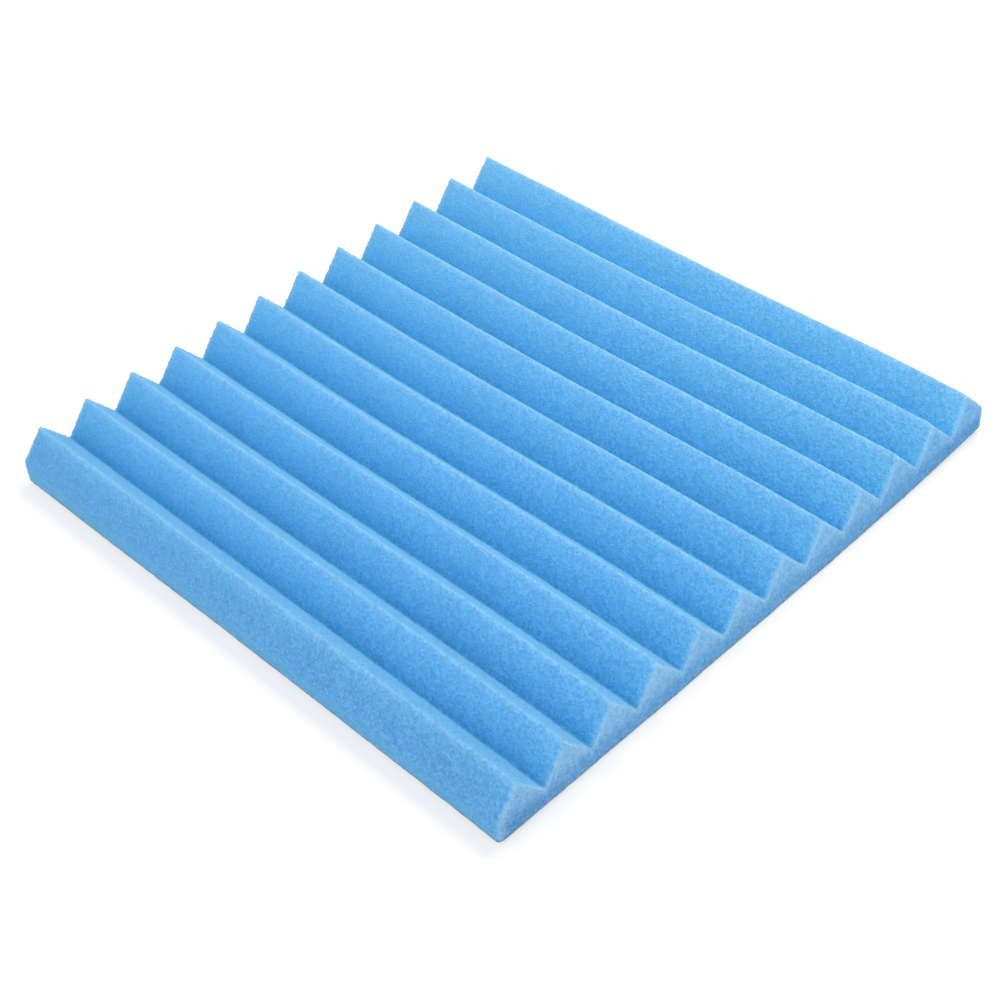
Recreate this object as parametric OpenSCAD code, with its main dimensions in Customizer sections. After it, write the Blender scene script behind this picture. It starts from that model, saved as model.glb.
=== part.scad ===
// Ribbed filter sponge: one nearly square sheet of open-cell foam.
// Its underside is flat, and its top is cut into parallel wedge ridges.
// X runs along the ridges, Y runs across them from the near edge to the far edge, and Z points up.
// The origin is the centre of the flat underside. All sizes are in millimetres.

/* [Sheet] */
// Length of the sheet along its ridges
sheet_length = 300; // [50:1:1000]
// Width of the sheet across its ridges
sheet_width = 302.8; // [60:0.1:1000]
// Thickness of the sheet from the underside to the crests
sheet_thickness = 25; // [18:0.5:50]
// Thickness of the solid web between the underside and the valleys
web_thickness = 10; // [3:0.5:18]

/* [Ridges] */
// Distance from one crest to the next
ridge_pitch = 25.4; // [12:0.1:60]
// Distance from the near edge to the first crest
first_crest = 11.7; // [0:0.1:25]
// Radius of the rounded crests
crest_radius = 0.8; // [0.2:0.1:2]
// Radius of the rounded valley floors
valley_radius = 0.6; // [0.2:0.1:2]

/* [Hidden] */

// Sky blue of the dyed foam
foam_colour = [0.34, 0.65, 0.91];

// Straight steps that make up one rounded crest or valley
round_steps = 6;

half_pitch = ridge_pitch / 2;

// Places of the crests across the sheet, up to one past each edge, where the knife takes off what stands over
first_crest_y = first_crest - sheet_width / 2;
pitches_to_near_edge = ceil(first_crest / ridge_pitch);
pitches_to_far_edge = ceil((sheet_width - first_crest) / ridge_pitch);
crest_places = [
    for (i = [-pitches_to_near_edge : pitches_to_far_edge]) first_crest_y + i * ridge_pitch
];

// Each flank is the straight line that touches a crest's round and the next valley's round
crest_centre_z = sheet_thickness - crest_radius;
valley_centre_z = web_thickness + valley_radius;
centre_rise = crest_centre_z - valley_centre_z;
centre_gap = norm([half_pitch, centre_rise]);
flank_angle = atan2(centre_rise, half_pitch) + asin((crest_radius + valley_radius) / centre_gap);

// Angles of the steps round a crest or a valley, from one flank to the next
round_angles = [for (i = [0 : round_steps]) flank_angle * (2 * i / round_steps - 1)];

// Points over the crest at y, and points along the valley floor that follows it
function crest_round(y) = [
    for (a = round_angles) [y + crest_radius * sin(a), crest_centre_z + crest_radius * cos(a)]
];
function valley_round(y) = [
    for (a = round_angles) [y + valley_radius * sin(a), valley_centre_z - valley_radius * cos(a)]
];

// Cross-section of the ridged block that the sheet is cut from
module block_section() {
    near_side = crest_places[0] - half_pitch;
    far_side = crest_places[len(crest_places) - 1] + half_pitch;
    ridges = [for (y = crest_places) each concat(crest_round(y), valley_round(y + half_pitch))];
    web_corners = [[far_side + valley_radius, 0], [near_side, 0], [near_side, web_thickness]];
    polygon(concat(ridges, web_corners));
}

// Cross-section of the sheet, trimmed square at its near and far edges
module sheet_section() {
    intersection() {
        block_section();
        translate([-sheet_width / 2, 0])
            square([sheet_width, sheet_thickness]);
    }
}

// The whole sponge: the section drawn out along the ridges and cut square at both ends
module ribbed_sponge() {
    color(foam_colour)
        rotate([90, 0, 90])
            linear_extrude(height = sheet_length, center = true)
                sheet_section();
}

ribbed_sponge();
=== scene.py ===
"""Ribbed filter sponge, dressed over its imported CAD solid.

The sheet is modelled the way it is made: one ridge is drawn along its profile, repeated across the
block, trimmed square by a knife and closed underneath. Then its edges are softened, its cut faces are
roughened, and it settles into the slight cup of a soft sheet that was rolled up for sale.

Sizes are in metres, in the CAD frame: X along the ridges, Y across them from the near edge to the far
edge, Z up from the underside.
"""

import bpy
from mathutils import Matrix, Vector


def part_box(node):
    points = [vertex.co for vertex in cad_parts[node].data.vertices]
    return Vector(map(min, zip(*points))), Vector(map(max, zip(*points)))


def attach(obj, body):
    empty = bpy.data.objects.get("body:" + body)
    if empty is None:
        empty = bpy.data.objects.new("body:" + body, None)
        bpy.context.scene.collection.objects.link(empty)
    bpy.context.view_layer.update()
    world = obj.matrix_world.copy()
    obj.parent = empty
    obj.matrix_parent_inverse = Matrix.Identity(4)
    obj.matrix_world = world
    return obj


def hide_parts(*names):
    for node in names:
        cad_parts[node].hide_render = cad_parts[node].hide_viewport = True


bl_info = {
    "name": "Ribbed Filter Sponge",
    "version": (1, 0, 0),
    "blender": (4, 5, 0),
    "location": "View3D > Sidebar > Sponge",
    "description": "Builds a ribbed sheet of blue filter foam and the studio that it lies in",
    "category": "Object",
}

import math

import bmesh
import bpy
import numpy as np
from mathutils import Matrix, Vector

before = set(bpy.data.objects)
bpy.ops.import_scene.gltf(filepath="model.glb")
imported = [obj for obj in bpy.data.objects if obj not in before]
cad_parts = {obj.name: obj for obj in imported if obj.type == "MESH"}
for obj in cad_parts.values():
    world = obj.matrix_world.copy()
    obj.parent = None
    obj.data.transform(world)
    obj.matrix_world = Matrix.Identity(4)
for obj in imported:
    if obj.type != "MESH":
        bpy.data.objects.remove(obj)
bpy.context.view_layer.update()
SHEET_LOW, SHEET_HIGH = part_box("ribbed_sponge")
SHEET_SIZE = SHEET_HIGH - SHEET_LOW

MM = 0.001

# Straight steps in one rounded crest or valley, in one flank, and in a rounded bottom edge or rim
ROUND_STEPS = 4
FLANK_STEPS = 9
BOTTOM_STEPS = 2
RIM_STEPS = 2

# Extra edges across the near and far faces
SIDE_CUTS = 4

# Faces along one side of the grid in the underside, and the grid's distance from the outline
UNDERSIDE_FACES = 40
UNDERSIDE_RIM = 4 * MM

# Distances this small count as none
TOLERANCE = 0.01 * MM

# Least angle of the edges that are rounded, and of those that stay sharp in the shading
ROUNDED_ANGLE = math.radians(45)
SHARP_ANGLE = math.radians(40)

# Area of the largest face near the rims that is split
SPLIT_AREA = 4 * MM ** 2

# Lean of the faces along the rounded rims of the left-hand end, as the X of their normals
LEFT_RIM_LEAN = (-0.95, -0.1)

# Least lean of the trimmed faces: of the ends along X, and of the underside along Z
END_LEAN = 0.75
UNDERSIDE_LEAN = -0.5

# How far paler frayed foam with a painted highlight, and raised torn cells, reach in from the rims of the
# two ends
FRAY_REACH = 6.0 * MM
TORN_REACH = 2.0 * MM

# Share of the fray height that the right-hand end has
RIGHT_FRAY = 0.18

# How far the painted contact shadow reaches up and in from the bottom edges, and how much of it greys the
# foam in full
SHADOW_REACH = 2.8 * MM
FULL_SHADOW = 0.7

# Least rise of the outermost slopes and edges, which have no groove at their foot
OUTER_RISE = 0.7

# Rises over which the foam changes: the painted shade up from the foot of a groove, the painted light of
# the far ridges to the upper slope, and the painted highlight to the crest
GROOVE_SHADE_RISE = (0, 0.14)
UPPER_RISE = (0.15, 0.55)
CREST_RISE = (0.84, 0.98)

# Heights over which the painted shade of the nearest ridge comes in, and its share on the upright face
# below them
NEAR_SHADE_HEIGHTS = (9 * MM, 14 * MM)
NEAR_FACE_SHARE = 0.3

# Heights on the end faces over which the painted shade at the foot ends, and over which the painted light
# and shade of the nearest end faces change
CLEAR_HEIGHTS = (6 * MM, 15 * MM)
END_TINT_HEIGHTS = (12 * MM, 19 * MM)

# Places across the sheet over which the painted light and shade of the ridges and the nearest end faces,
# and the darkening of the far end faces, come in or fade out
NEAR_RIDGE = (SHEET_LOW.y + 3 * MM, SHEET_LOW.y + 12 * MM)
FAR_RIDGES = (-80 * MM, 150 * MM)
FIRST_END = (-140 * MM, -115 * MM)
SECOND_END = (-135 * MM, -115 * MM)
MIDDLE_ENDS = (-75 * MM, 0)
FAR_ENDS = (40 * MM, 130 * MM)

# Fray over which the rims turn pale with frayed foam and a painted highlight, and the share of that pale
# colour there, on the ridges and the end faces
RIDGE_FRAY = (0.55, 1.0)
RIDGE_RIM_SHARE = 0.6
TRIMMED_FRAY = (0.1, 0.9)
TRIMMED_RIM_SHARE = 0.62

# How open the foam cells are at the left-hand and right-hand ends
LEFT_OPENNESS = 0.8
RIGHT_OPENNESS = 1.3

# Distances from the middle of a cell over which its hollow ends, in cells, and the share of open pores
HOLLOW_REACH = (0.4, 0.9)
PORE_SHARE = 0.5

# Mottling: noise per metre and its detail, the noise that counts, and what it multiplies the foam by
MOTTLE_SCALE = 55
MOTTLE_DETAIL = 3
MOTTLE_NOISE = (0.3, 0.7)
MOTTLE_SHADE = (0.98, 1.012)

# Surface of the foam: roughness of whole foam and of pores, strength of the bump, gloss and scattering
ROUGHNESS = (0.88, 1.0)
BUMP_STRENGTH = 0.6
GLOSS = 0.15
SCATTER_SHARE = 0.5
SCATTER_DEPTH = 2 * MM

# Half of the elevation over which the wall light fades out
WALL_FADE = math.radians(5)

# Directions over which the walls dim towards the back, and brighten beyond the right-hand end
BACK_TURN = (-0.2, 0.9)
SIDE_TURN = (0.3, 1.0)

# Side of the floor, and the distances from its middle over which its glow rises
FLOOR_SIDE = 8
GLOW_REACH = (0.3, 1.2)

# Width of the camera's sensor in millimetres
SENSOR_WIDTH = 36


class SpongeCut(bpy.types.PropertyGroup):
    """Sizes that the profiled knife and the trimming knife leave, apart from the CAD box"""

    ridge_pitch: bpy.props.FloatProperty(
        name="Ridge Pitch", description="Distance from one crest to the next",
        default=25.4 * MM, unit="LENGTH")
    first_crest: bpy.props.FloatProperty(
        name="First Crest", description="Distance from the near edge to the first crest",
        default=11.7 * MM, unit="LENGTH")
    web_thickness: bpy.props.FloatProperty(
        name="Web Thickness", description="Foam left between the underside and the valleys",
        default=10 * MM, unit="LENGTH")
    crest_radius: bpy.props.FloatProperty(
        name="Crest Radius", description="Radius of the rounded crests",
        default=0.8 * MM, unit="LENGTH")
    valley_radius: bpy.props.FloatProperty(
        name="Valley Radius", description="Radius of the rounded valley floors",
        default=0.6 * MM, unit="LENGTH")
    rim_radius: bpy.props.FloatProperty(
        name="Rim Radius", description="Rounding along the rims of the two ends and the upright corners",
        default=0.6 * MM, unit="LENGTH")
    bottom_radius: bpy.props.FloatProperty(
        name="Bottom Radius", description="Rounding along the bottom edges",
        default=0.7 * MM, unit="LENGTH")
    left_corner_radius: bpy.props.FloatProperty(
        name="Left Corner Radius", description="Radius of the two left-hand corners, seen from above",
        default=0.8 * MM, unit="LENGTH")
    right_corner_radius: bpy.props.FloatProperty(
        name="Right Corner Radius", description="Radius of the two right-hand corners, seen from above",
        default=2.5 * MM, unit="LENGTH")
    face_length: bpy.props.FloatProperty(
        name="Face Length", description="Length of one mesh face along the ridges",
        default=1.7 * MM, unit="LENGTH")


class SpongeSettle(bpy.types.PropertyGroup):
    """How far the soft sheet departs from its cut shape"""

    cup: bpy.props.FloatProperty(
        name="Cup", description="How far the near and far edges curl up off the floor",
        default=1.9 * MM, unit="LENGTH")
    bow: bpy.props.FloatProperty(
        name="Bow", description="How far the two ridged ends curl up off the floor",
        default=0.2 * MM, unit="LENGTH")
    twist: bpy.props.FloatProperty(
        name="Twist", description="How far the near left and far right corners curl up off the floor",
        default=0.3 * MM, unit="LENGTH")
    sag: bpy.props.FloatProperty(
        name="Sag", description="Share of the curl that the soft underside gives back",
        default=0.35, min=0, max=1)
    end_taper: bpy.props.FloatProperty(
        name="End Taper", description="How far each end cut runs in from the middle to the far edge",
        default=0.6 * MM, unit="LENGTH")
    end_slant: bpy.props.FloatProperty(
        name="End Slant", description="How far each end cut runs in from mid-height to the crests",
        default=0.4 * MM, unit="LENGTH")
    tip_fall: bpy.props.FloatProperty(
        name="Tip Fall", description="How far the crests droop at the right-hand end",
        default=1.5 * MM, unit="LENGTH")
    tip_length: bpy.props.FloatProperty(
        name="Tip Length", description="Length of the drooping crest ends",
        default=6 * MM, unit="LENGTH")
    tip_lean: bpy.props.FloatProperty(
        name="Tip Lean", description="How far the crests stand back at the right-hand end",
        default=0.6 * MM, unit="LENGTH")
    corner_fall: bpy.props.FloatProperty(
        name="Corner Fall", description="How far the far right corner droops",
        default=2.6 * MM, unit="LENGTH")
    corner_lift: bpy.props.FloatProperty(
        name="Corner Lift", description="How far the foot of the far right corner curls up",
        default=1.0 * MM, unit="LENGTH")
    near_fall: bpy.props.FloatProperty(
        name="Near Fall", description="How far the nearest ridge sags, at the edge of the sheet",
        default=1.6 * MM, unit="LENGTH")
    corner_length: bpy.props.FloatProperty(
        name="Corner Length",
        description="How far the droop of the far right corner and the wander of the ends reach in",
        default=75 * MM, unit="LENGTH")
    foot_wander: bpy.props.FloatVectorProperty(
        name="Foot Wander",
        description="How far the foot of the right-hand end stands out at the places below",
        default=(-0.5 * MM, 0.8 * MM, -0.3 * MM), subtype="XYZ", unit="LENGTH")
    foot_places: bpy.props.FloatVectorProperty(
        name="Foot Places", description="Those three places, from -1 at the near edge to 1 at the far edge",
        default=(-1, 0.6, 1))
    left_wander: bpy.props.FloatVectorProperty(
        name="Left Wander", description="How far the left-hand end stands out at the places below",
        default=(-0.2 * MM, 1.1 * MM, 0.9 * MM, -0.5 * MM), size=4, unit="LENGTH")
    left_places: bpy.props.FloatVectorProperty(
        name="Left Places", description="Those four places, from -1 at the near edge to 1 at the far edge",
        default=(-0.45, 0.25, 0.6, 0.95), size=4)
    sway: bpy.props.FloatProperty(
        name="Sway", description="How far the ridges sway sideways along their length",
        default=0.85 * MM, unit="LENGTH")
    sway_length: bpy.props.FloatProperty(
        name="Sway Length", description="Length of one sway to and fro",
        default=318 * MM, unit="LENGTH")
    sway_place: bpy.props.FloatProperty(
        name="Sway Place",
        description="Place along the middle of the sheet that sways furthest towards the near edge",
        default=-51 * MM, unit="LENGTH")
    sway_skew: bpy.props.FloatProperty(
        name="Sway Skew",
        description="How far that place moves along the ridges, for each step towards the far edge",
        default=0.36)
    sway_start: bpy.props.FloatProperty(
        name="Sway Start", description="Distance from the near edge at which the ridges sway in full",
        default=95 * MM, unit="LENGTH")
    near_shift: bpy.props.FloatProperty(
        name="Near Shift", description="How far the near edge stands out",
        default=0.5 * MM, unit="LENGTH")
    near_tuck: bpy.props.FloatProperty(
        name="Near Tuck", description="How far the foot of the near edge draws in, right of its middle",
        default=0.42 * MM, unit="LENGTH")
    shoulder: bpy.props.FloatProperty(
        name="Shoulder", description="How far the far slope bulges at the far right corner",
        default=0.9 * MM, unit="LENGTH")
    wave_height: bpy.props.FloatProperty(
        name="Wave Height", description="Height of the slow waves that the springy foam is cut with",
        default=0.5 * MM, unit="LENGTH")
    wave_length: bpy.props.FloatProperty(
        name="Wave Length", description="Length of the slow waves",
        default=45 * MM, unit="LENGTH")
    tear_height: bpy.props.FloatProperty(
        name="Tear Height", description="Height of the torn cells on the cut faces",
        default=0.35 * MM, unit="LENGTH")
    tear_length: bpy.props.FloatProperty(
        name="Tear Length", description="Spacing of the torn cells on the cut faces",
        default=2.6 * MM, unit="LENGTH")
    fray_height: bpy.props.FloatProperty(
        name="Fray Height", description="Height of the torn cells along the rims of the left-hand end",
        default=2.0 * MM, unit="LENGTH")
    fray_length: bpy.props.FloatProperty(
        name="Fray Length", description="Spacing of the torn cells along the rims of the two ends",
        default=0.45 * MM, unit="LENGTH")


class FoamLook(bpy.types.PropertyGroup):
    """Colours and cells of the dyed foam"""

    # Painted shade: the foam darkens towards the foot of the slopes, where the grooves are shaded
    painted_groove_shade: bpy.props.FloatVectorProperty(
        name="Painted Groove Shade", description="Foam at the foot of the ridge slopes",
        default=(0.113, 0.469, 0.823), subtype="COLOR", min=0, max=1)
    slope_colour: bpy.props.FloatVectorProperty(
        name="Slope Colour", description="Foam at the top of the ridge slopes",
        default=(0.164, 0.496, 0.872), subtype="COLOR", min=0, max=1)
    # Painted light: the far slopes, which face the lamp, take a colour of their own for the light on them
    painted_lee_light: bpy.props.FloatVectorProperty(
        name="Painted Lee Light", description="Painted light on the far slopes, which face the lamp",
        default=(0.168, 0.487, 0.80), subtype="COLOR", min=0, max=1)
    # Partly frayed foam, partly a painted highlight where light catches the crests
    crest_fray_and_highlight: bpy.props.FloatVectorProperty(
        name="Crest Fray and Highlight", description="Frayed foam with a painted highlight along the crests",
        default=(0.208, 0.518, 0.845), subtype="COLOR", min=0, max=1)
    # Partly frayed foam, partly a painted highlight along the rims of the ends
    rim_fray_and_highlight: bpy.props.FloatVectorProperty(
        name="Rim Fray and Highlight", description="Frayed foam with a painted highlight along the rims of the two ends",
        default=(0.32, 0.593, 0.86), subtype="COLOR", min=0, max=1)
    trimmed_colour: bpy.props.FloatVectorProperty(
        name="Trimmed Colour", description="Foam on the faces left by the trimming knife",
        default=(0.242, 0.534, 0.865), subtype="COLOR", min=0, max=1)
    # Painted shade: the trimmed faces darken towards the floor, where less light reaches them
    painted_foot_shade: bpy.props.FloatVectorProperty(
        name="Painted Foot Shade", description="Painted shade low on the trimmed faces, near the floor",
        default=(0.145, 0.40, 0.755), subtype="COLOR", min=0, max=1)
    # Painted shadow: the contact shadow along the bottom edges
    painted_shadow_colour: bpy.props.FloatVectorProperty(
        name="Painted Shadow Colour", description="Painted contact shadow along the bottom edges",
        default=(0.185, 0.36, 0.55), subtype="COLOR", min=0, max=1)
    # Painted shade: the nearest ridge is darkened for the light that falls on it
    painted_near_shade: bpy.props.FloatVectorProperty(
        name="Painted Near Shade", description="Painted shade that the nearest ridge is multiplied by",
        default=(0.85, 0.83, 0.92), subtype="COLOR", min=0, max=1)
    # Painted light: the far ridges are tinted for how the light falls on them, redder and less blue up
    # their slopes
    painted_far_light: bpy.props.FloatVectorProperty(
        name="Painted Far Light", description="What the upper slopes of the far ridges are multiplied by",
        default=(1.06, 0.97, 0.905), subtype="COLOR", min=0)
    painted_far_groove_light: bpy.props.FloatVectorProperty(
        name="Painted Far Groove Light", description="What the lower slopes of the far ridges are multiplied by",
        default=(1.09, 1.03, 0.965), subtype="COLOR", min=0)
    # Painted light and shade on the end faces: the second and third are lightened high up, the nearest is
    # darkened low down; the far ones are darker towards the far corners
    painted_near_end_light: bpy.props.FloatVectorProperty(
        name="Painted Near End Light",
        description="What the upper end faces of the second and third ridges are multiplied by",
        default=(1.16, 1.09, 1.06), subtype="COLOR", min=0)
    painted_near_corner_shade: bpy.props.FloatVectorProperty(
        name="Painted Near Corner Shade", description="What the low part of the nearest end face is multiplied by",
        default=(0.83, 0.85, 0.92), subtype="COLOR", min=0, max=1)
    far_end_tint: bpy.props.FloatVectorProperty(
        name="Far End Tint", description="What the end faces are multiplied by at the far corners",
        default=(0.84, 0.91, 0.97), subtype="COLOR", min=0, max=1)
    # Painted shade: the very bottom of each groove is darkened where little light reaches
    painted_groove_foot_shade: bpy.props.FloatVectorProperty(
        name="Painted Groove Foot Shade", description="What the foam is multiplied by at the very bottom of the grooves",
        default=(0.88, 0.92, 0.90), subtype="COLOR", min=0, max=1)
    pore_tint: bpy.props.FloatVectorProperty(
        name="Pore Tint", description="What the foam is multiplied by in the open cells",
        default=(0.74, 0.86, 0.925), subtype="COLOR", min=0, max=1)
    skin_tint: bpy.props.FloatVectorProperty(
        name="Skin Tint", description="What is screened over the foam where a skin closes a cell",
        default=(0.05, 0.13, 0.4), subtype="COLOR", min=0, max=1)
    cell_size: bpy.props.FloatProperty(
        name="Cell Size", description="Spacing of the foam cells on the ridge slopes",
        default=1.0 * MM, unit="LENGTH")
    trimmed_cell_size: bpy.props.FloatProperty(
        name="Trimmed Cell Size", description="Spacing of the foam cells on the trimmed faces",
        default=1.15 * MM, unit="LENGTH")
    cell_depth: bpy.props.FloatProperty(
        name="Cell Depth", description="Depth of the open cells",
        default=0.3 * MM, unit="LENGTH")


class Studio(bpy.types.PropertyGroup):
    """Camera, light and floor"""

    azimuth: bpy.props.FloatProperty(
        name="Azimuth", description="Camera direction round the sheet, 0 looks along +Y",
        default=math.radians(48.69), subtype="ANGLE")
    elevation: bpy.props.FloatProperty(
        name="Elevation", description="Camera height above the horizon",
        default=math.radians(42.99), subtype="ANGLE")
    roll: bpy.props.FloatProperty(
        name="Roll", description="Turn of the camera about its line of sight",
        default=math.radians(-5.45), subtype="ANGLE")
    distance: bpy.props.FloatProperty(
        name="Distance", description="Distance from the camera to the point it aims at",
        default=805.8 * MM, unit="LENGTH")
    aim: bpy.props.FloatVectorProperty(
        name="Aim", description="Point that the camera looks at",
        default=(29.0 * MM, -29.0 * MM, 12.5 * MM), subtype="TRANSLATION", unit="LENGTH")
    lens: bpy.props.FloatProperty(
        name="Lens", description="Focal length on a 36 mm sensor",
        default=67.78, unit="CAMERA")
    front_light: bpy.props.FloatProperty(
        name="Front Light", description="Strength of the even light from the walls in front and beside",
        default=1.335)
    back_light: bpy.props.FloatProperty(
        name="Back Light", description="Strength of the even light from the wall behind",
        default=0.315)
    side_gain: bpy.props.FloatProperty(
        name="Side Gain", description="How much brighter the wall beyond the right-hand end is",
        default=1.5)
    wall_top: bpy.props.FloatProperty(
        name="Wall Top", description="Elevation that the lit walls reach up to",
        default=math.radians(50), subtype="ANGLE")
    lamp_power: bpy.props.FloatProperty(
        name="Lamp Power", description="Power of the soft lamp that hangs behind the far edge",
        default=7.6, unit="POWER")
    lamp_place: bpy.props.FloatVectorProperty(
        name="Lamp Place", description="Place of the soft lamp, which faces straight down",
        default=(0, 0.5, 0.9), subtype="TRANSLATION", unit="LENGTH")
    lamp_side: bpy.props.FloatProperty(
        name="Lamp Side", description="Side length of the soft lamp",
        default=0.6, unit="LENGTH")
    floor_colour: bpy.props.FloatVectorProperty(
        name="Floor Colour", description="The pale floor",
        default=(0.45, 0.45, 0.45), subtype="COLOR", min=0, max=1)
    floor_glow: bpy.props.FloatVectorProperty(
        name="Floor Glow",
        description="White that the floor shows near the sheet, on top of its own colour",
        default=(0.61, 0.61, 0.61), subtype="COLOR", min=0, max=1)
    backdrop_glow: bpy.props.FloatVectorProperty(
        name="Backdrop Glow",
        description="White that the floor shows far from the sheet, on top of its own colour",
        default=(0.9, 0.9, 0.9), subtype="COLOR", min=0, max=1)


def deselect_everything():
    """Leaves nothing selected, because operators act on all that is."""
    bpy.ops.object.select_all(action="DESELECT")


def apply_modifier(modifier):
    """Applies one modifier of the active piece."""
    bpy.ops.object.modifier_apply(modifier=modifier.name)


def ridge_profile(cut):
    """Points (y, z) of one ridge about its crest, from the valley before it to the valley after it."""
    half_pitch = cut.ridge_pitch / 2
    crest_z = SHEET_HIGH.z - cut.crest_radius
    valley_z = SHEET_LOW.z + cut.web_thickness + cut.valley_radius
    rise = crest_z - valley_z
    reach = cut.crest_radius + cut.valley_radius
    flank_angle = math.atan2(rise, half_pitch) + math.asin(reach / math.hypot(half_pitch, rise))
    turns = [flank_angle * step / (ROUND_STEPS // 2) for step in range(ROUND_STEPS // 2 + 1)]
    crest = [(cut.crest_radius * math.sin(a), crest_z + cut.crest_radius * math.cos(a)) for a in turns]
    valley = [(half_pitch - cut.valley_radius * math.sin(a), valley_z - cut.valley_radius * math.cos(a))
              for a in reversed(turns)]
    top, foot = Vector(crest[-1]), Vector(valley[0])
    flank = [tuple(top.lerp(foot, step / FLANK_STEPS)) for step in range(1, FLANK_STEPS)]
    far_half = crest + flank + valley
    near_half = [(-y, z) for y, z in reversed(far_half)]
    return near_half + far_half[1:]


def past_crest(cut, y):
    """How far each place y across the sheet is past the nearest crest, negative on its near side."""
    first_crest_y = SHEET_LOW.y + cut.first_crest
    return np.mod(y - first_crest_y + cut.ridge_pitch / 2, cut.ridge_pitch) - cut.ridge_pitch / 2


def skin_height(cut, y):
    """Height of the uncupped ridged skin at each place y across the sheet."""
    profile = np.array(ridge_profile(cut))
    return np.interp(past_crest(cut, y), profile[:, 0], profile[:, 1])


def ridge_rise(cut, z):
    """How far up a ridge each height z is, from 0 at the valleys to 1 at the crests."""
    return np.clip((z - SHEET_LOW.z - cut.web_thickness) / (SHEET_SIZE.z - cut.web_thickness), 0, 1)


def select_parts(mesh, kind, wanted):
    """Selects the vertices, edges or faces that pass a test, and nothing else."""
    bpy.ops.mesh.select_mode(type=kind)
    bpy.ops.mesh.select_all(action="DESELECT")
    edited = bmesh.from_edit_mesh(mesh)
    parts = {"VERT": edited.verts, "EDGE": edited.edges, "FACE": edited.faces}[kind]
    for part in parts:
        if wanted(part):
            part.select_set(True)
    bmesh.update_edit_mesh(mesh)


def select_open_edges():
    """Selects the edges that border a hole."""
    bpy.ops.mesh.select_mode(type="EDGE")
    bpy.ops.mesh.select_all(action="DESELECT")
    bpy.ops.mesh.select_non_manifold(
        use_wire=False, use_boundary=True, use_multi_face=False, use_non_contiguous=False, use_verts=False)


def draw_out_edges(step):
    """Extrudes the selected edges by one step."""
    bpy.ops.mesh.extrude_edges_move(TRANSFORM_OT_translate={"value": step})


def vertex_places(mesh):
    """Vertex coordinates as an array of rows."""
    places = np.empty(len(mesh.vertices) * 3)
    mesh.vertices.foreach_get("co", places)
    return places.reshape(-1, 3)


def draw_ridge(cut):
    """One ridge of the skin: an edge along X, drawn out step by step along the ridge's profile."""
    profile = ridge_profile(cut)
    columns = round(SHEET_SIZE.x / cut.face_length)
    deselect_everything()
    bpy.ops.mesh.primitive_grid_add(x_subdivisions=columns, y_subdivisions=1, size=1)
    sheet = bpy.context.active_object
    sheet.name = "foam_sheet"
    bpy.ops.object.mode_set(mode="EDIT")
    select_parts(sheet.data, "VERT", lambda vert: vert.co.y > 0)
    bpy.ops.mesh.delete(type="VERT")
    bpy.ops.mesh.select_mode(type="EDGE")
    bpy.ops.mesh.select_all(action="SELECT")
    bpy.ops.transform.resize(value=(SHEET_SIZE.x, 0, 1), center_override=(0, 0, 0))
    first_y, first_z = profile[0]
    bpy.ops.transform.translate(value=(0, SHEET_LOW.y + cut.first_crest + first_y, first_z))
    for (y, z), (next_y, next_z) in zip(profile, profile[1:]):
        draw_out_edges((0, next_y - y, next_z - z))
    bpy.ops.object.mode_set(mode="OBJECT")
    return sheet


def repeat_ridge(sheet, cut):
    """Repeats the ridge across the block, with the valleys joined."""
    repeat = sheet.modifiers.new("ridges", "ARRAY")
    repeat.use_relative_offset = False
    repeat.use_constant_offset = True
    repeat.constant_offset_displace = (0, cut.ridge_pitch, 0)
    repeat.count = math.ceil((SHEET_SIZE.y - cut.first_crest + cut.ridge_pitch / 2) / cut.ridge_pitch)
    repeat.use_merge_vertices = True
    repeat.merge_threshold = TOLERANCE
    apply_modifier(repeat)


def trim_and_close(sheet, cut):
    """Trims the near and far edges, drops the sides, rounds the bottom edges and closes the underside."""
    bpy.ops.object.mode_set(mode="EDIT")
    for trim_y, outward in ((SHEET_LOW.y, -1), (SHEET_HIGH.y, 1)):
        bpy.ops.mesh.select_all(action="SELECT")
        bpy.ops.mesh.bisect(plane_co=(0, trim_y, 0), plane_no=(0, outward, 0), clear_outer=True)
    support = 2 * cut.rim_radius
    side_foot = SHEET_LOW.z + cut.bottom_radius
    select_open_edges()
    draw_out_edges((0, 0, -support))
    draw_out_edges((0, 0, -support))
    bpy.ops.transform.resize(value=(1, 1, 0), center_override=(0, 0, side_foot))
    draw_round_bottom(cut.bottom_radius)
    select_parts(sheet.data, "EDGE", lambda edge: min(v.co.z for v in edge.verts) < side_foot + TOLERANCE
                 and max(v.co.z for v in edge.verts) > side_foot + support)
    bpy.ops.mesh.subdivide(number_cuts=SIDE_CUTS)
    bpy.ops.mesh.select_all(action="DESELECT")
    bpy.ops.mesh.primitive_grid_add(x_subdivisions=UNDERSIDE_FACES, y_subdivisions=UNDERSIDE_FACES, size=1)
    grid_size = (SHEET_SIZE.x - 2 * UNDERSIDE_RIM, SHEET_SIZE.y - 2 * UNDERSIDE_RIM, 1)
    bpy.ops.transform.resize(value=grid_size)
    select_open_edges()
    bpy.ops.mesh.bridge_edge_loops()
    bpy.ops.mesh.select_all(action="SELECT")
    bpy.ops.mesh.normals_make_consistent(inside=False)
    round_rims(sheet, cut)
    bpy.ops.object.mode_set(mode="OBJECT")


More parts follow.
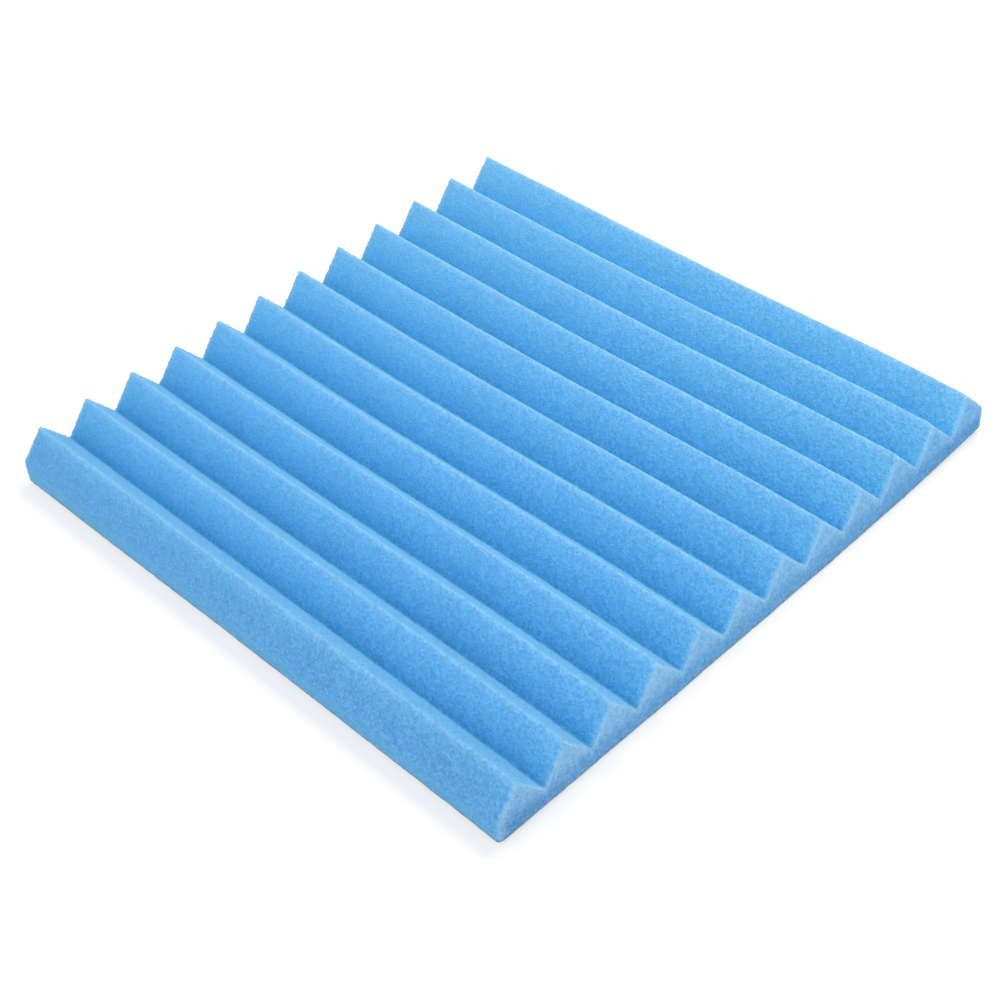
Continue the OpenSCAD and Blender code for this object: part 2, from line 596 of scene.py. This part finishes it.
def draw_round_bottom(radius):
    """Draws the selected outline down and in along a quarter round."""
    turns = [math.radians(90) * step / BOTTOM_STEPS for step in range(BOTTOM_STEPS + 1)]
    for turn, next_turn in zip(turns, turns[1:]):
        draw_out_edges((0, 0, radius * (math.sin(turn) - math.sin(next_turn))))
        inset = 2 * radius * (1 - math.cos(turn))
        next_inset = 2 * radius * (1 - math.cos(next_turn))
        shrink_x = (SHEET_SIZE.x - next_inset) / (SHEET_SIZE.x - inset)
        shrink_y = (SHEET_SIZE.y - next_inset) / (SHEET_SIZE.y - inset)
        bpy.ops.transform.resize(value=(shrink_x, shrink_y, 1), center_override=(0, 0, 0))


def round_rims(sheet, cut):
    """Rounds the rims of the ends and the upright corners, and splits the faces near the rims."""
    bpy.ops.mesh.select_all(action="DESELECT")
    bpy.ops.mesh.edges_select_sharp(sharpness=ROUNDED_ANGLE)
    bpy.ops.mesh.bevel(offset=cut.rim_radius, segments=RIM_STEPS, affect="EDGES")
    rim_start = SHEET_HIGH.x - 2 * cut.face_length
    rim_foot = SHEET_LOW.z + cut.bottom_radius
    select_parts(sheet.data, "FACE", lambda face: max(abs(v.co.x) for v in face.verts) > rim_start
                 and face.calc_center_median().z > rim_foot
                 and face.calc_area() < SPLIT_AREA)
    bpy.ops.mesh.subdivide(number_cuts=1)
    steepest, flattest = LEFT_RIM_LEAN
    select_parts(sheet.data, "FACE", lambda face: steepest < face.normal.x < flattest
                 and face.calc_center_median().z > rim_foot)
    bpy.ops.mesh.subdivide(number_cuts=1)


def mark_surfaces(sheet, cut):
    """Stores where each vertex is: up a ridge, on a far slope, near a frayed rim, near a bottom edge."""
    mesh = sheet.data
    x, y, z = vertex_places(mesh).T
    from_end = SHEET_SIZE.x / 2 - abs(x)
    from_side = SHEET_SIZE.y / 2 - abs(y)
    rise = ridge_rise(cut, z)
    rise = np.where(from_side < cut.first_crest, np.maximum(rise, OUTER_RISE), rise)
    lee = np.clip(past_crest(cut, y) / cut.crest_radius, 0, 1)
    from_skin = abs(skin_height(cut, y) - z)
    from_rim = np.maximum(from_end, np.minimum(from_side, from_skin))
    fray = np.clip(1 - from_rim / FRAY_REACH, 0, 1)
    from_outline = np.minimum(from_end, from_side)
    # Painted shadow: the contact shadow along the bottom edges
    painted_shadow = np.clip(1 - (z - SHEET_LOW.z) / SHADOW_REACH, 0, 1) * np.clip(1 - from_outline / SHADOW_REACH, 0, 1)
    for name, values in (("rise", rise), ("lee", lee), ("fray", fray), ("painted_shadow", painted_shadow)):
        mesh.attributes.new(name, "FLOAT", "POINT").data.foreach_set("value", values)
    rims = sheet.vertex_groups.new(name="rims")
    weights = np.clip(1 - from_rim / TORN_REACH, 0, 1) * np.where(x < 0, 1, RIGHT_FRAY)
    for index in np.flatnonzero(weights):
        rims.add([int(index)], weights[index], "REPLACE")


def roughen(sheet, settle):
    """Raises slow waves, torn cells on the skin, and taller torn cells along the rims of the ends."""
    for name, height, length, group in (("waves", settle.wave_height, settle.wave_length, ""),
                                        ("tears", settle.tear_height, settle.tear_length, ""),
                                        ("frays", settle.fray_height, settle.fray_length, "rims")):
        texture = bpy.data.textures.new(name, "CLOUDS")
        texture.noise_scale = length
        texture.noise_depth = 1
        swell = sheet.modifiers.new(name, "DISPLACE")
        swell.texture = texture
        swell.texture_coords = "LOCAL"
        swell.strength = height
        swell.mid_level = 0.5
        swell.vertex_group = group
        apply_modifier(swell)


def round_corners(x, y, radius):
    """Draws the four square corners in to arcs, seen from above."""
    over_x = np.maximum(abs(x) - (SHEET_SIZE.x / 2 - radius), 0)
    over_y = np.maximum(abs(y) - (SHEET_SIZE.y / 2 - radius), 0)
    corner = (over_x > 0) & (over_y > 0)
    shrink = np.ones_like(x)
    shrink[corner] = np.maximum(over_x, over_y)[corner] / np.hypot(over_x, over_y)[corner]
    x = np.where(corner, np.sign(x) * (abs(x) - over_x + over_x * shrink), x)
    y = np.where(corner, np.sign(y) * (abs(y) - over_y + over_y * shrink), y)
    return x, y


def settle_sheet(sheet, cut, settle):
    """Moves the vertices as the soft sheet settles: its corners, ends and tips, its curl and its sway."""
    mesh = sheet.data
    x, y, z = vertex_places(mesh).T
    x, y = round_corners(x, y, np.where(x < 0, cut.left_corner_radius, cut.right_corner_radius))
    along = x / (SHEET_SIZE.x / 2)
    across = y / (SHEET_SIZE.y / 2)
    height = (z - SHEET_LOW.z) / SHEET_SIZE.z
    rise = ridge_rise(cut, z)
    through_web = np.clip((z - SHEET_LOW.z) / cut.web_thickness, 0, 1)

    # The end cuts run in, and the crests stand back at the right-hand end
    x = x - along * (settle.end_taper * across + settle.end_slant * (2 * height - 1))
    from_right_end = SHEET_SIZE.x / 2 - x
    into_tip = np.clip(1 - from_right_end / settle.tip_length, 0, 1)
    at_right_end = np.clip(1 - from_right_end / settle.corner_length, 0, 1)
    at_far_edge = np.clip(1 - (SHEET_HIGH.y - y) / settle.corner_length, 0, 1)
    into_corner = (at_right_end * at_far_edge) ** 2
    x = x - (settle.tip_lean + settle.corner_fall * into_corner) * into_tip * rise ** 2

    # The tips, the nearest ridge and the far right corner droop, and that corner's slope bulges
    on_near_ridge = np.clip((SHEET_LOW.y - y) / cut.ridge_pitch + 1, 0, 1)
    z = z - settle.tip_fall * (into_tip * rise) ** 2 - settle.near_fall * on_near_ridge * rise
    droop = settle.corner_fall * height - settle.corner_lift * (1 - through_web)
    z = z - droop * into_corner
    down_far_slope = np.clip((y - SHEET_HIGH.y) / (cut.ridge_pitch / 2) + 1, 0, 1)
    z = z + settle.shoulder * 4 * down_far_slope * (1 - down_far_slope) * at_right_end ** 2 * height

    # The ends wander, and the edges and corners curl up off the floor
    x = x + np.interp(across, settle.foot_places, settle.foot_wander) * at_right_end * (1 - through_web)
    at_left_end = np.clip(1 - (x - SHEET_LOW.x) / settle.corner_length, 0, 1)
    x = x - np.interp(across, settle.left_places, settle.left_wander) * at_left_end
    curl = settle.cup * across ** 2 + settle.bow * along ** 2
    z = z + curl * (1 - settle.sag * (1 - through_web)) + settle.twist * along * across * through_web
    z = z - z.min() + SHEET_LOW.z

    # The ridges sway sideways, and the near edge stands out above its foot
    swaying = np.clip((y - SHEET_LOW.y) / settle.sway_start, 0, 1)
    turn = (x - settle.sway_place - settle.sway_skew * y) / settle.sway_length
    y = y - settle.sway * np.cos(2 * math.pi * turn) * swaying - settle.near_shift * (1 - swaying)
    y = y + settle.near_tuck * (1 - along ** 2) * (1 + along) * (1 - through_web) * (1 - swaying)
    mesh.vertices.foreach_set("co", np.stack([x, y, z], axis=1).ravel())
    mesh.update()


def new_node(tree, kind, **settings):
    """Adds a shader node and sets its plain settings."""
    node = tree.nodes.new(kind)
    for name, value in settings.items():
        setattr(node, name, value)
    return node


def mix_colours(tree, share, first, second, blend="MIX"):
    """Mixes two colours by a varying share. A colour is a socket or plain values."""
    mix = new_node(tree, "ShaderNodeMix", data_type="RGBA", blend_type=blend)
    for name, value in (("Factor", share), ("A", first), ("B", second)):
        put(tree, mix.inputs[name], value)
    return mix.outputs["Result"]


def put(tree, socket, value):
    """Feeds a socket from another socket, or sets it to plain values."""
    if isinstance(value, bpy.types.NodeSocket):
        tree.links.new(value, socket)
    elif isinstance(value, (int, float)):
        socket.default_value = value
    else:
        socket.default_value = (*value, 1)


def map_range(tree, value, low, high, to_low, to_high):
    """Maps a value smoothly from one range to another."""
    node = new_node(tree, "ShaderNodeMapRange", interpolation_type="SMOOTHSTEP")
    tree.links.new(value, node.inputs["Value"])
    for name, limit in (("From Min", low), ("From Max", high), ("To Min", to_low), ("To Max", to_high)):
        node.inputs[name].default_value = limit
    return node.outputs["Result"]


def multiply(tree, first, second):
    """Multiplies two values."""
    node = new_node(tree, "ShaderNodeMath", operation="MULTIPLY")
    tree.links.new(first, node.inputs[0])
    tree.links.new(second, node.inputs[1])
    return node.outputs["Value"]


def attribute(tree, name):
    """Reads one of the attributes that are stored on the sheet."""
    return new_node(tree, "ShaderNodeAttribute", attribute_name=name).outputs["Fac"]


def foam_cells_group():
    """Node group of the open foam cells: pores, closed cells, relief and mottling."""
    group = bpy.data.node_groups.new("foam cells", "ShaderNodeTree")
    group.interface.new_socket("Position", in_out="INPUT", socket_type="NodeSocketVector")
    group.interface.new_socket("Cells per Metre", in_out="INPUT", socket_type="NodeSocketFloat")
    for name in ("Pores", "Skins", "Relief", "Mottle"):
        group.interface.new_socket(name, in_out="OUTPUT", socket_type="NodeSocketFloat")
    entry = new_node(group, "NodeGroupInput")
    leave = new_node(group, "NodeGroupOutput")

    cells = new_node(group, "ShaderNodeTexVoronoi", feature="F1")
    group.links.new(entry.outputs["Position"], cells.inputs["Vector"])
    group.links.new(entry.outputs["Cells per Metre"], cells.inputs["Scale"])
    chance = new_node(group, "ShaderNodeSeparateColor")
    group.links.new(cells.outputs["Color"], chance.inputs["Color"])
    hollow = map_range(group, cells.outputs["Distance"], *HOLLOW_REACH, 1, 0)

    where = new_node(group, "ShaderNodeSeparateXYZ")
    group.links.new(entry.outputs["Position"], where.inputs["Vector"])
    openness = map_range(
        group, where.outputs["X"], SHEET_LOW.x, SHEET_HIGH.x, LEFT_OPENNESS, RIGHT_OPENNESS)
    opened = multiply(group, hollow, openness)
    for name, full in (("Pores", 0), ("Skins", 1)):
        picked = map_range(group, chance.outputs["Red"], PORE_SHARE, full, 0, 1)
        group.links.new(multiply(group, opened, picked), leave.inputs[name])
    group.links.new(cells.outputs["Distance"], leave.inputs["Relief"])

    mottle = new_node(group, "ShaderNodeTexNoise")
    mottle.inputs["Scale"].default_value = MOTTLE_SCALE
    mottle.inputs["Detail"].default_value = MOTTLE_DETAIL
    group.links.new(entry.outputs["Position"], mottle.inputs["Vector"])
    group.links.new(mottle.outputs["Fac"], leave.inputs["Mottle"])
    return group


def foam_material(name, look, cells_group, cell_size):
    """Foam with its cells and its surface, and the outputs for place and cells that its colour follows."""
    material = bpy.data.materials.new(name)
    material.use_nodes = True
    tree = material.node_tree
    shader = tree.nodes["Principled BSDF"]
    place = new_node(tree, "ShaderNodeTexCoord")
    where = new_node(tree, "ShaderNodeSeparateXYZ")
    tree.links.new(place.outputs["Object"], where.inputs["Vector"])
    cells = new_node(tree, "ShaderNodeGroup", node_tree=cells_group)
    tree.links.new(place.outputs["Object"], cells.inputs["Position"])
    cells.inputs["Cells per Metre"].default_value = 1 / cell_size

    tree.links.new(map_range(tree, cells.outputs["Pores"], 0, 1, *ROUGHNESS), shader.inputs["Roughness"])
    bump = new_node(tree, "ShaderNodeBump")
    bump.inputs["Strength"].default_value = BUMP_STRENGTH
    bump.inputs["Distance"].default_value = look.cell_depth
    tree.links.new(cells.outputs["Relief"], bump.inputs["Height"])
    tree.links.new(bump.outputs["Normal"], shader.inputs["Normal"])
    shader.inputs["Specular IOR Level"].default_value = GLOSS
    shader.inputs["Subsurface Weight"].default_value = SCATTER_SHARE
    shader.inputs["Subsurface Radius"].default_value = (1, 1, 1)
    shader.inputs["Subsurface Scale"].default_value = SCATTER_DEPTH
    return material, where.outputs, cells.outputs


def pale_rims_fray_and_highlight(tree, look, colour, limits, share):
    """Pales a foam colour towards the rims of the ends, for frayed foam and a painted highlight."""
    frayed = map_range(tree, attribute(tree, "fray"), *limits, 0, share)
    return mix_colours(tree, frayed, colour, look.rim_fray_and_highlight)


def colour_cells(tree, look, cells, colour):
    """Painted contact shadow, mottles and cells over a foam colour, into the shader."""
    shadowed = map_range(tree, attribute(tree, "painted_shadow"), 0, FULL_SHADOW, 0, 1)
    colour = mix_colours(tree, shadowed, colour, look.painted_shadow_colour)
    shade = map_range(tree, cells["Mottle"], *MOTTLE_NOISE, *MOTTLE_SHADE)
    colour = mix_colours(tree, 1.0, colour, shade, "MULTIPLY")
    colour = mix_colours(tree, cells["Pores"], colour, look.pore_tint, "MULTIPLY")
    colour = mix_colours(tree, cells["Skins"], colour, look.skin_tint, "SCREEN")
    tree.links.new(colour, tree.nodes["Principled BSDF"].inputs["Base Color"])


def ridge_foam(look, cells_group):
    """Foam of the ridged skin, with painted shade in the grooves and on the nearest ridge, painted light on
    the far slopes and far ridges, and frayed foam with a painted highlight along the crests and rims.
    """
    material, where, cells = foam_material("ridge foam", look, cells_group, look.cell_size)
    tree = material.node_tree
    rise = attribute(tree, "rise")
    # Painted shade: darker towards the foot of each groove
    colour = mix_colours(tree, rise, look.painted_groove_shade, look.slope_colour)
    # Painted light on the far slopes
    colour = mix_colours(tree, attribute(tree, "lee"), colour, look.painted_lee_light)
    # Frayed foam and a painted highlight along the crests
    crest = map_range(tree, rise, *CREST_RISE, 0, 1)
    colour = mix_colours(tree, crest, colour, look.crest_fray_and_highlight)
    # Painted shade at the very bottom of the grooves
    foot = map_range(tree, rise, *GROOVE_SHADE_RISE, 1, 0)
    colour = mix_colours(tree, foot, colour, look.painted_groove_foot_shade, "MULTIPLY")
    # Painted shade on the nearest ridge
    near = map_range(tree, where["Y"], *NEAR_RIDGE, 1, 0)
    on_slope = map_range(tree, where["Z"], *NEAR_SHADE_HEIGHTS, NEAR_FACE_SHARE, 1)
    colour = mix_colours(tree, multiply(tree, near, on_slope), colour, look.painted_near_shade, "MULTIPLY")
    # Painted light on the far ridges
    upper = map_range(tree, rise, *UPPER_RISE, 0, 1)
    painted_far_light = mix_colours(tree, upper, look.painted_far_groove_light, look.painted_far_light)
    far = map_range(tree, where["Y"], *FAR_RIDGES, 0, 1)
    colour = mix_colours(tree, far, colour, painted_far_light, "MULTIPLY")
    colour = pale_rims_fray_and_highlight(tree, look, colour, RIDGE_FRAY, RIDGE_RIM_SHARE)
    colour_cells(tree, look, cells, colour)
    return material


def trimmed_foam(look, cells_group):
    """Foam of the trimmed faces, with painted shade at the foot, painted light and shade on the nearest end
    faces, and darker towards the far corners.
    """
    material, where, cells = foam_material("trimmed foam", look, cells_group, look.trimmed_cell_size)
    tree = material.node_tree
    # Painted shade towards the floor
    clear = map_range(tree, where["Z"], *CLEAR_HEIGHTS, 0, 1)
    colour = mix_colours(tree, clear, look.painted_foot_shade, look.trimmed_colour)
    # Painted light: the upper end faces of the second and third ridges are lightened
    past_first = map_range(tree, where["Y"], *SECOND_END, 0, 1)
    before_middle = map_range(tree, where["Y"], *MIDDLE_ENDS, 1, 0)
    high = map_range(tree, where["Z"], *END_TINT_HEIGHTS, 0, 1)
    near = multiply(tree, multiply(tree, past_first, before_middle), high)
    colour = mix_colours(tree, near, colour, look.painted_near_end_light, "MULTIPLY")
    # Painted shade: the low part of the nearest end face is darkened
    on_first = map_range(tree, where["Y"], *FIRST_END, 1, 0)
    low = map_range(tree, where["Z"], *END_TINT_HEIGHTS, 1, 0)
    colour = mix_colours(tree, multiply(tree, on_first, low), colour, look.painted_near_corner_shade, "MULTIPLY")
    # Darker towards the far corners
    far = map_range(tree, where["Y"], *FAR_ENDS, 0, 1)
    colour = mix_colours(tree, far, colour, look.far_end_tint, "MULTIPLY")
    colour = pale_rims_fray_and_highlight(tree, look, colour, TRIMMED_FRAY, TRIMMED_RIM_SHARE)
    colour_cells(tree, look, cells, colour)
    return material


def dye_sheet(sheet, look):
    """Gives the ridged skin and the trimmed faces their foam."""
    cells_group = foam_cells_group()
    sheet.data.materials.append(ridge_foam(look, cells_group))
    sheet.data.materials.append(trimmed_foam(look, cells_group))
    bpy.ops.object.mode_set(mode="EDIT")
    select_parts(sheet.data, "FACE",
                 lambda face: abs(face.normal.x) > END_LEAN or face.normal.z < UNDERSIDE_LEAN)
    sheet.active_material_index = 1
    bpy.ops.object.material_slot_assign()
    bpy.ops.object.mode_set(mode="OBJECT")


class SPONGE_OT_foam_sheet(bpy.types.Operator):
    """Models the ribbed foam sheet in place of the CAD solid"""

    bl_idname = "sponge.foam_sheet"
    bl_label = "Build Foam Sheet"

    def execute(self, context):
        cut = context.scene.sponge_cut
        settle = context.scene.sponge_settle
        look = context.scene.sponge_look
        sheet = draw_ridge(cut)
        repeat_ridge(sheet, cut)
        trim_and_close(sheet, cut)
        mark_surfaces(sheet, cut)
        dye_sheet(sheet, look)
        roughen(sheet, settle)
        settle_sheet(sheet, cut, settle)
        bpy.ops.object.shade_smooth_by_angle(angle=SHARP_ANGLE)
        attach(sheet, "root")
        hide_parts("ribbed_sponge")
        return {"FINISHED"}


def lay_floor(studio):
    """A wide pale floor that shows white and keeps the shadow."""
    deselect_everything()
    bpy.ops.mesh.primitive_plane_add(size=FLOOR_SIDE)
    floor = bpy.context.active_object
    floor.name = "floor"
    paint = bpy.data.materials.new("floor paint")
    paint.use_nodes = True
    tree = paint.node_tree
    shader = tree.nodes["Principled BSDF"]
    shader.inputs["Base Color"].default_value = (*studio.floor_colour, 1)
    shader.inputs["Roughness"].default_value = 1
    shader.inputs["Specular IOR Level"].default_value = 0
    place = new_node(tree, "ShaderNodeTexCoord")
    distance = new_node(tree, "ShaderNodeVectorMath", operation="LENGTH")
    tree.links.new(place.outputs["Object"], distance.inputs[0])
    away = map_range(tree, distance.outputs["Value"], *GLOW_REACH, 0, 1)
    white = mix_colours(tree, away, studio.floor_glow, studio.backdrop_glow)
    glow = mix_colours(tree, seen_rays(tree), (0, 0, 0), white)
    tree.links.new(glow, shader.inputs["Emission Color"])
    shader.inputs["Emission Strength"].default_value = 1
    floor.data.materials.append(paint)


def seen_rays(tree):
    """1 for rays that carry a picture of the surface, and 0 for rays that only carry its light."""
    path = new_node(tree, "ShaderNodeLightPath")
    total = path.outputs["Is Camera Ray"]
    for name in ("Is Glossy Ray", "Is Transmission Ray"):
        add = new_node(tree, "ShaderNodeMath", operation="MAXIMUM")
        tree.links.new(total, add.inputs[0])
        tree.links.new(path.outputs[name], add.inputs[1])
        total = add.outputs["Value"]
    return total


def light_walls(scene, studio):
    """Even light from white walls, weaker behind, under a dark ceiling. All of it is seen as white."""
    world = bpy.data.worlds.new("studio walls")
    world.use_nodes = True
    tree = world.node_tree
    background = tree.nodes["Background"]
    background.inputs["Color"].default_value = (1, 1, 1, 1)
    direction = new_node(tree, "ShaderNodeTexCoord")
    towards = new_node(tree, "ShaderNodeSeparateXYZ")
    tree.links.new(direction.outputs["Generated"], towards.inputs["Vector"])
    fade_start = math.sin(studio.wall_top - WALL_FADE)
    fade_end = math.sin(studio.wall_top + WALL_FADE)
    below_ceiling = map_range(tree, towards.outputs["Z"], fade_start, fade_end, 1, 0)
    wall = map_range(tree, towards.outputs["Y"], *BACK_TURN, studio.front_light, studio.back_light)
    side = map_range(tree, towards.outputs["X"], *SIDE_TURN, 1, studio.side_gain)
    lit = multiply(tree, multiply(tree, wall, side), below_ceiling)
    strength = new_node(tree, "ShaderNodeMix")
    put(tree, strength.inputs["Factor"], seen_rays(tree))
    put(tree, strength.inputs["A"], lit)
    put(tree, strength.inputs["B"], 1.0)
    tree.links.new(strength.outputs["Result"], background.inputs["Strength"])
    scene.world = world


def hang_lamp(studio):
    """A square soft lamp behind the far edge, facing straight down."""
    bpy.ops.object.light_add(type="AREA", location=studio.lamp_place)
    lamp = bpy.context.active_object
    lamp.name = "soft_lamp"
    lamp.data.shape = "SQUARE"
    lamp.data.size = studio.lamp_side
    lamp.data.energy = studio.lamp_power


def place_camera(scene, studio):
    """Places the camera at the photograph's viewing angle."""
    bpy.ops.object.camera_add()
    camera = bpy.context.active_object
    back = Vector((math.sin(studio.azimuth) * math.cos(studio.elevation),
                   -math.cos(studio.azimuth) * math.cos(studio.elevation),
                   math.sin(studio.elevation)))
    camera.location = Vector(studio.aim) + back * studio.distance
    level = (-back).to_track_quat("-Z", "Y").to_matrix()
    camera.rotation_euler = (level @ Matrix.Rotation(studio.roll, 3, "Z")).to_euler()
    camera.data.lens = studio.lens
    camera.data.sensor_width = SENSOR_WIDTH
    scene.camera = camera


class SPONGE_OT_studio(bpy.types.Operator):
    """Lays the floor, lights the sheet and places the camera"""

    bl_idname = "sponge.studio"
    bl_label = "Build Studio"

    def execute(self, context):
        studio = context.scene.sponge_studio
        lay_floor(studio)
        light_walls(context.scene, studio)
        hang_lamp(studio)
        place_camera(context.scene, studio)
        context.scene.view_settings.view_transform = "Standard"
        return {"FINISHED"}


class SPONGE_PT_panel(bpy.types.Panel):
    """Sizes, colours and build buttons of the sponge"""

    bl_label = "Ribbed Filter Sponge"
    bl_space_type = "VIEW_3D"
    bl_region_type = "UI"
    bl_category = "Sponge"

    def draw(self, context):
        scene = context.scene
        sheet_groups = (scene.sponge_cut, scene.sponge_settle, scene.sponge_look)
        for operator, groups in ((SPONGE_OT_studio, (scene.sponge_studio,)),
                                 (SPONGE_OT_foam_sheet, sheet_groups)):
            box = self.layout.box()
            for group in groups:
                for name in group.__annotations__:
                    box.prop(group, name)
            box.operator(operator.bl_idname)


SETTINGS = {
    "sponge_cut": SpongeCut,
    "sponge_settle": SpongeSettle,
    "sponge_look": FoamLook,
    "sponge_studio": Studio,
}
CLASSES = (*SETTINGS.values(), SPONGE_OT_foam_sheet, SPONGE_OT_studio, SPONGE_PT_panel)


def register():
    for cls in CLASSES:
        bpy.utils.register_class(cls)
    for name, group in SETTINGS.items():
        setattr(bpy.types.Scene, name, bpy.props.PointerProperty(type=group))


def unregister():
    for name in SETTINGS:
        delattr(bpy.types.Scene, name)
    for cls in reversed(CLASSES):
        bpy.utils.unregister_class(cls)


def main():
    register()
    bpy.ops.sponge.studio()
    bpy.ops.sponge.foam_sheet()


if __name__ == "__main__":
    main()
